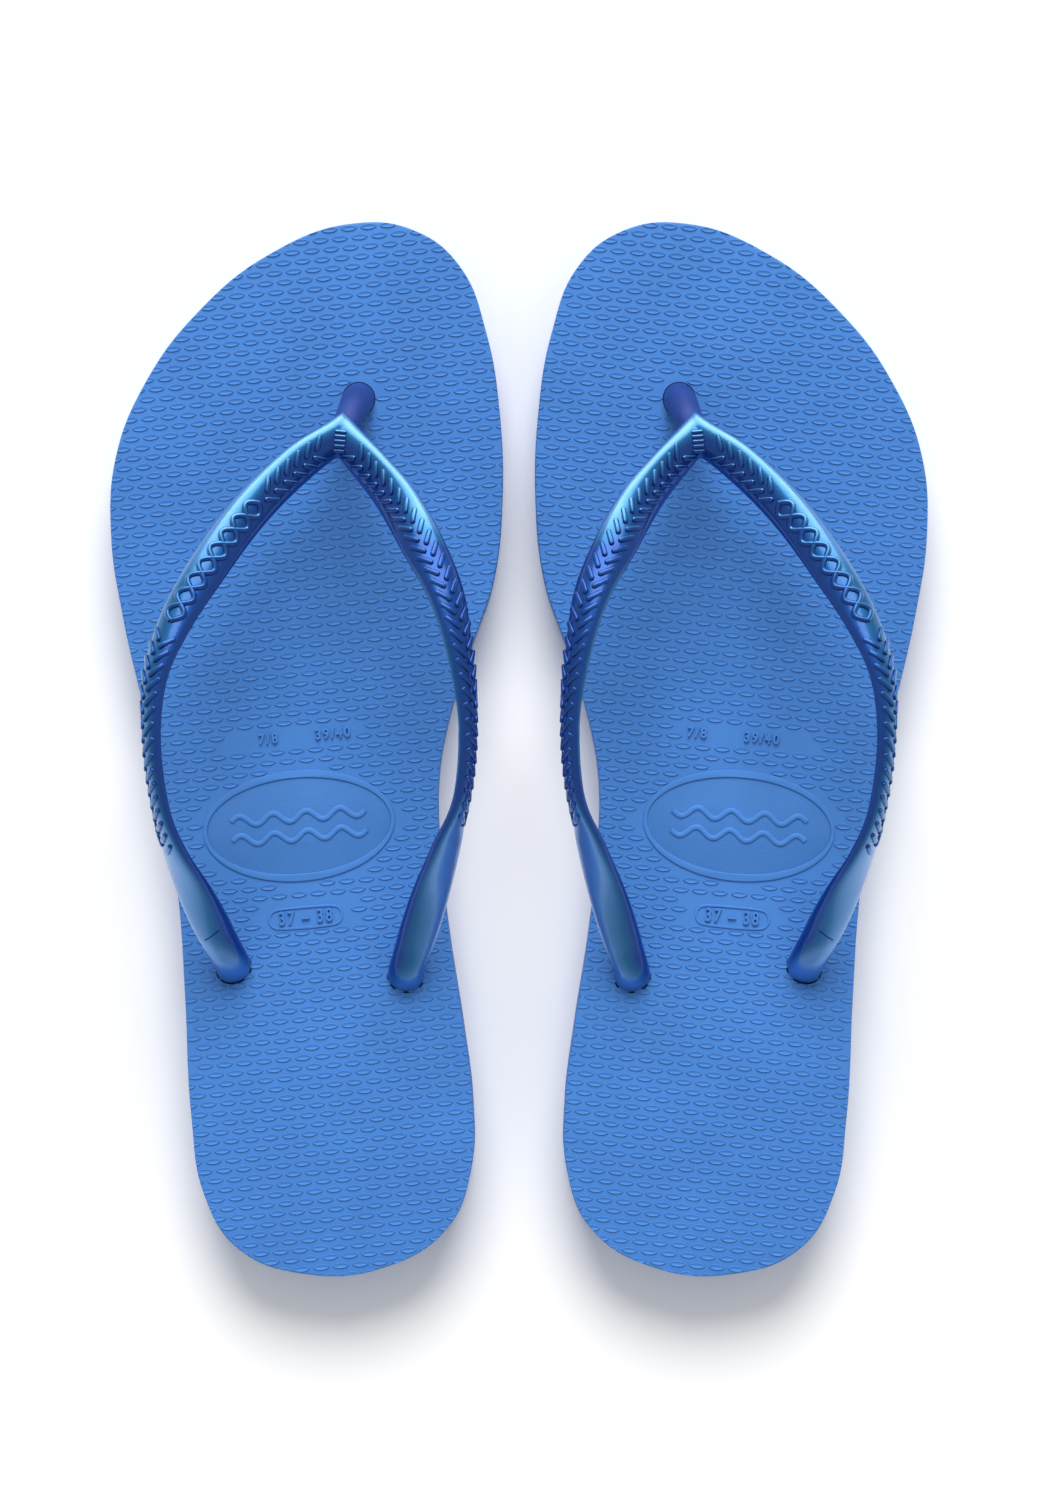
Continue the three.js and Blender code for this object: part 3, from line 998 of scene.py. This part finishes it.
class BuildGrain(bpy.types.Operator):
    """Raised ovals all over the footbed, cut off at its edge and kept out of the badge and the size marks"""
    bl_idname = "sandal.grain"
    bl_label = "Footbed grain"

    def ring(self, sizes, inset, height):
        """One outline of an oval, pointed a little at its ends."""
        def point(angle):
            across = math.sin(angle)
            across *= abs(across) ** 0.3
            x = math.cos(angle) * (sizes.grain_length / 2 - 1.3 * inset)
            return Vector((x, across * (sizes.grain_width / 2 - inset), height))
        return point

    def clear(self, x, y, sizes):
        """Whether an oval may stand here."""
        badge = (x - BADGE[0]) ** 2 / (sizes.badge_length / 2 + BADGE_CLEAR[0]) ** 2
        badge += (y - BADGE[1]) ** 2 / (sizes.badge_width / 2 + BADGE_CLEAR[1]) ** 2
        marks = any(abs(x - at[0]) < half_x and abs(y - at[1]) < half_y
                    for at, (half_x, half_y) in ((PILL, PILL_CLEAR), (SIZE_LINE, SIZE_LINE_CLEAR)))
        post = (Vector((x, y)) - POST_HOLE.xy).length < POST_CLEAR
        return badge > 1 and not marks and not post

    def execute(self, context):
        sizes = context.scene.sole_sizes
        lip, height = sizes.grain_lip, sizes.grain_height
        rings = ((0, -0.2 * MM), (0, 0), (lip, height), (2.6 * lip, 0.4 * height))
        grain = loft("grain", [self.ring(sizes, *ring) for ring in rings], 12)
        spread_flat(grain, staggered(*GRAIN_REACH, sizes.grain_pitch, sizes.grain_rows,
                                     lambda x, y: self.clear(x, y, sizes) and near_outline(x, y, 2 * MM)))
        edge = flat_shape("edge", [outline()], 4 * MM, 0.05 * MM, offset=-GRAIN_EDGE)
        moved(edge, lambda x, y, z: (x, y, z - 2 * MM))
        boolean(grain, "INTERSECT", edge, "MANIFOLD")
        on_footbed(grain)
        finished(grain, "grain", "footbed", 35, footbed_rubber())
        return {"FINISHED"}


class BuildBadge(bpy.types.Operator):
    """Raised oval ring on the heel, with a sandy field and a plain wave motif"""
    bl_idname = "sandal.badge"
    bl_label = "Badge"

    def execute(self, context):
        sizes = context.scene.sole_sizes
        long, wide, band = sizes.badge_length, sizes.badge_width, sizes.badge_band
        inner = ellipse(*BADGE, long - band, wide - 2 * band)
        ring = flat_shape("ring", [ellipse(*BADGE, long, wide), inner], RING_HEIGHT, 0.22 * MM)
        on_footbed(ring, -RING_SUNK)
        finished(ring, "badge_ring", "footbed", 50, footbed_rubber(), bends=False)

        field = flat_shape("field", [inner], FIELD_HEIGHT, 0.05 * MM)
        cut_across(field, BADGE[1] - wide / 2, BADGE[1] + wide / 2, 2 * MM)
        on_footbed(field, -FIELD_SUNK)
        sand = rubber("Sandy rubber", shade(context.scene.finish_colours.footbed, 0.9), 2600, 0.14 * MM, 0.8)
        finished(field, "badge_field", "footbed", 40, sand, bends=False)

        waves = [wave_line(BADGE[0], BADGE[1] + side * BADGE_WAVE_APART / 2, **BADGE_WAVES) for side in (-1, 1)]
        motif = join(waves, "motif")
        moved(motif, lambda x, y, z: (x, y, z * BADGE_WAVE_FLAT + FOREFOOT_TOP + lift(y) + BADGE_WAVE_RISE))
        finished(motif, "badge_motif", "footbed", 60, footbed_rubber(), bends=False)
        return {"FINISHED"}


class BuildSizeMarks(bpy.types.Operator):
    """Raised size digits on the footbed, one line of them in a rounded frame"""
    bl_idname = "sandal.size_marks"
    bl_label = "Size marks"

    def digits(self, body, at, height, narrow):
        deselect()
        bpy.ops.object.text_add(location=(0, 0, 0))
        give(bpy.context.object.data, body=body, size=height, align_x="CENTER", align_y="CENTER",
             space_character=1.25, offset=0.04 * MM, extrude=0.7 * MM, bevel_depth=0.07 * MM,
             bevel_resolution=2, resolution_u=4)
        bpy.ops.object.convert(target="MESH")
        piece = new_piece("digits")
        moved(piece, lambda x, y, z: (x * narrow + at[0], y + at[1], z + FOREFOOT_TOP + lift(y + at[1])))
        return piece

    def execute(self, context):
        outer = stadium(*PILL, *PILL_SIZE)
        inner = stadium(*PILL, *(size - 2 * PILL_LINE for size in PILL_SIZE))
        frame_line = flat_shape("frame", [outer, inner], 0.8 * MM, 0.18 * MM)
        on_footbed(frame_line, -RING_SUNK)
        marks = {
            "size_frame": frame_line,
            "size_digits": self.digits("37 \u2013 38", PILL, 4.6 * MM, 0.76),
            "size_line": join([self.digits(body, at, 3.5 * MM, 0.9) for body, at in SIZE_LINES], "size_line"),
        }
        for name, piece in marks.items():
            finished(piece, name, "footbed", 30, footbed_rubber(), bends=False, reads=name != "size_frame")
        return {"FINISHED"}


class BuildOutsole(bpy.types.Operator):
    """Lower layer of the sole, with a recessed underside for the tread, and recesses for the buttons"""
    bl_idname = "sandal.outsole"
    bl_label = "Outsole"

    def execute(self, context):
        sizes = context.scene.sole_sizes
        thickness = SEAM - 0.05 * MM
        slab = flat_shape("outsole", [outline()], thickness, sizes.edge_round)
        ready_to_bend(slab)
        well = flat_shape("well", [outline()], 2 * sizes.tread_depth, 0.1 * MM, offset=-sizes.tread_border)
        moved(well, lambda x, y, z: (x, y, z - sizes.tread_depth))
        boolean(slab, "DIFFERENCE", well)
        moved(slab, lambda x, y, z: (x, y, z * (1 + lift(y) / thickness) if z > sizes.tread_depth * 2 else z))
        for radius, at in button_places():
            recess = cylinder("recess", radius + RECESS_FIT, -1 * MM, BUTTON_TOP + RECESS_ROOM, at)
            boolean(slab, "DIFFERENCE", recess)
        finished(slab, "outsole", "outsole", 30, outsole_rubber(), replaced=("outsole_front", "outsole_rear"))
        return {"FINISHED"}


class BuildTread(bpy.types.Operator):
    """Small lozenge lugs in the recessed underside"""
    bl_idname = "sandal.tread"
    bl_label = "Tread"

    def execute(self, context):
        sizes = context.scene.sole_sizes
        deselect()
        bpy.ops.mesh.primitive_cylinder_add(vertices=4, radius=0.5, depth=1, location=(0, 0, 0))
        lug = new_piece("lug")
        deep = sizes.tread_depth + 0.3 * MM

        def lozenge(x, y, z):
            share = LUG_TAPER if z < 0 else 1
            return x * LUG_SIZE[0] * share, y * LUG_SIZE[1] * share, (z + 0.5) * deep
        moved(lug, lozenge)
        modify(lug, "BEVEL", width=0.25 * MM, segments=2, limit_method="ANGLE")
        buttons = button_places()

        def allowed(x, y):
            away = all((Vector((x, y)) - at.xy).length > radius + BUTTON_CLEAR for radius, at in buttons)
            return away and near_outline(x, y, -sizes.tread_border - BORDER_CLEAR)
        spread_flat(lug, staggered(*LUG_REACH, *LUG_PITCH, allowed))
        edit(lug, face_out)
        finished(lug, "tread", "outsole", 35, outsole_rubber())
        return {"FINISHED"}


class BuildStrap(bpy.types.Operator):
    """Strap with its two plugs and their buttons, as one smooth moulding"""
    bl_idname = "sandal.strap"
    bl_label = "Strap"

    def execute(self, context):
        strap = context.scene.strap_sizes
        body = strap_body("strap")
        whole = moulding("strap", [body, *(button(strap.button_radius, arm.foot) for arm in strap_arms())],
                         0.45 * MM, 7)
        # Paints reflection and shade into the strap's colour.
        pearled_with_painted_light(whole)
        finished(whole, "strap", "strap", 60, replaced=("strap",))
        return {"FINISHED"}


class BuildHerringbone(bpy.types.Operator):
    """Raised herringbone on both arms, and the short ribs over the strap's point"""
    bl_idname = "sandal.herringbone"
    bl_label = "Herringbone"

    def mould_line(self, arm):
        """A fine line half across the arm, near its end."""
        line = bar_shape(*MOULD_LINE_SHAPE, 0.4 * MM)
        step, reach = 0.5 * MM, coordinates(line)[:, 0].max()
        cut_across(line, step - reach, reach, step, along=Vector((1, 0, 0)))
        return relief_on(arm, line, 1, lambda copy: (arm.length - MOULD_LINE, 0, MOULD_LINE_TURN))

    def execute(self, context):
        strap = context.scene.strap_sizes
        outer, inner = strap_arms()
        pieces = [self.mould_line(outer)]
        for arm, stretches in ((outer, OUTER_BARS), (inner, INNER_BARS)):
            places = []
            for start, end in stretches:
                for distance in np.arange(start, end, strap.bar_pitch):
                    places.append((distance, -BAR_COLUMN, BAR_TURN))
                    places.append((distance + strap.bar_pitch / 2, BAR_COLUMN, -BAR_TURN))
            bar = bar_shape(strap.bar_length, strap.bar_width, strap.bar_height, SUNK)
            pieces.append(relief_on(arm, bar, len(places), lambda copy, p=places: p[copy]))
        whole = join(pieces + [point_ribs((outer, inner))], "herringbone")
        edit(whole, face_out)
        # Paints reflection and shade into the relief's colour.
        pearled_with_painted_light(whole)
        finished(whole, "herringbone", "strap", 60)
        return {"FINISHED"}


class BuildWaves(bpy.types.Operator):
    """Raised relief of two crossing waves on the outer arm"""
    bl_idname = "sandal.waves"
    bl_label = "Strap waves"

    def execute(self, context):
        outer, _ = strap_arms()
        start, end = WAVE_STRETCH
        line = join([wave_line(0, 0, end - start, **STRAP_WAVES, start=share) for share in (0, 0.5)], "waves")
        middle = (start + end) / 2
        moved(line, lambda x, y, z: outer.surface(middle + x, y, z * STRAP_WAVE_FLAT + STRAP_WAVE_RISE))
        edit(line, face_out)
        # Paints reflection and shade into the waves' colour.
        pearled_with_painted_light(line)
        finished(line, "strap_waves", "strap", 60)
        return {"FINISHED"}


class BuildToePost(bpy.types.Operator):
    """Toe post with its button, leaning back to the strap's point"""
    bl_idname = "sandal.toe_post"
    bl_label = "Toe post"

    def execute(self, context):
        radius = context.scene.strap_sizes.post_button_radius
        whole = moulding("toe_post", [toe_post("post"), button(radius, POST_HOLE)], 0.35 * MM, 5)
        plastic = satin("Toe post satin", context.scene.finish_colours.post)
        finished(whole, "toe_post", "toe_post", 60, plastic, replaced=("toe_post",))
        return {"FINISHED"}


class BuildStage(bpy.types.Operator):
    """Pale floor, soft lights and the camera"""
    bl_idname = "sandal.stage"
    bl_label = "Stage"

    def sun(self, name, elevation, spread, strength):
        """A broad light from beyond the toes."""
        data = bpy.data.lights.new(name, "SUN")
        give(data, angle=math.radians(spread), energy=strength)
        lamp = bpy.data.objects.new(name, data)
        lamp.rotation_euler = (math.radians(elevation - 90), 0, 0)
        bpy.context.collection.objects.link(lamp)
        return lamp

    def execute(self, context):
        colours = context.scene.finish_colours
        deselect()
        bpy.ops.mesh.primitive_plane_add(size=FLOOR_SIZE, location=(0, 0, 0))
        floor = new_piece("floor")
        moved(floor, lambda x, y, z: (x, y, -FLOOR_GAP))
        floor_material, _ = finish("Floor", colours.floor, 0.9, specular=0.1)
        painted(floor, floor_material)

        world = bpy.data.worlds.new("Studio")
        world.use_nodes = True
        feed(world.node_tree.nodes["Background"], {"Color": (1, 1, 1, 1), "Strength": SKY_STRENGTH})
        context.scene.world = world
        self.sun("Key", **KEY).visible_glossy = False
        glint = self.sun("Glint", **GLINT)
        glint.visible_diffuse = False
        glint.data.color = GLINT_COLOUR

        data = bpy.data.cameras.new("Camera")
        give(data, sensor_fit="VERTICAL", sensor_height=SENSOR_MM,
             lens=SENSOR_MM * (CAMERA_HEIGHT - FOREFOOT_TOP) / VIEW_HEIGHT)
        camera = bpy.data.objects.new("Camera", data)
        camera.location = (0, CAMERA_Y, CAMERA_HEIGHT)
        context.collection.objects.link(camera)
        context.scene.camera = camera
        context.scene.view_settings.view_transform = "Standard"
        return {"FINISHED"}


OPERATORS = (BuildFootbed, BuildGrain, BuildBadge, BuildSizeMarks, BuildOutsole, BuildTread, BuildStrap,
             BuildHerringbone, BuildWaves, BuildToePost, BuildStage)


class SandalPanel(bpy.types.Panel):
    """Lists the sizes, the colours and the pieces"""
    bl_idname = "VIEW3D_PT_sandal"
    bl_label = "Flip-flop"
    bl_space_type = "VIEW_3D"
    bl_region_type = "UI"
    bl_category = "Flip-flop"

    def draw(self, context):
        scene = context.scene
        for group in (scene.sole_sizes, scene.strap_sizes, scene.finish_colours):
            box = self.layout.box()
            for key in group.bl_rna.properties.keys():
                if key not in {"rna_type", "name"}:
                    box.prop(group, key)
        for operator in OPERATORS:
            self.layout.operator(operator.bl_idname)


CLASSES = (SoleSizes, StrapSizes, FinishColours, *OPERATORS, SandalPanel)


def register():
    for each in CLASSES:
        bpy.utils.register_class(each)
    bpy.types.Scene.sole_sizes = bpy.props.PointerProperty(type=SoleSizes)
    bpy.types.Scene.strap_sizes = bpy.props.PointerProperty(type=StrapSizes)
    bpy.types.Scene.finish_colours = bpy.props.PointerProperty(type=FinishColours)


def unregister():
    del bpy.types.Scene.finish_colours
    del bpy.types.Scene.strap_sizes
    del bpy.types.Scene.sole_sizes
    for each in reversed(CLASSES):
        bpy.utils.unregister_class(each)


def main():
    register()
    for operator in OPERATORS:
        group, name = operator.bl_idname.split(".")
        getattr(getattr(bpy.ops, group), name)()


if __name__ == "__main__":
    main()
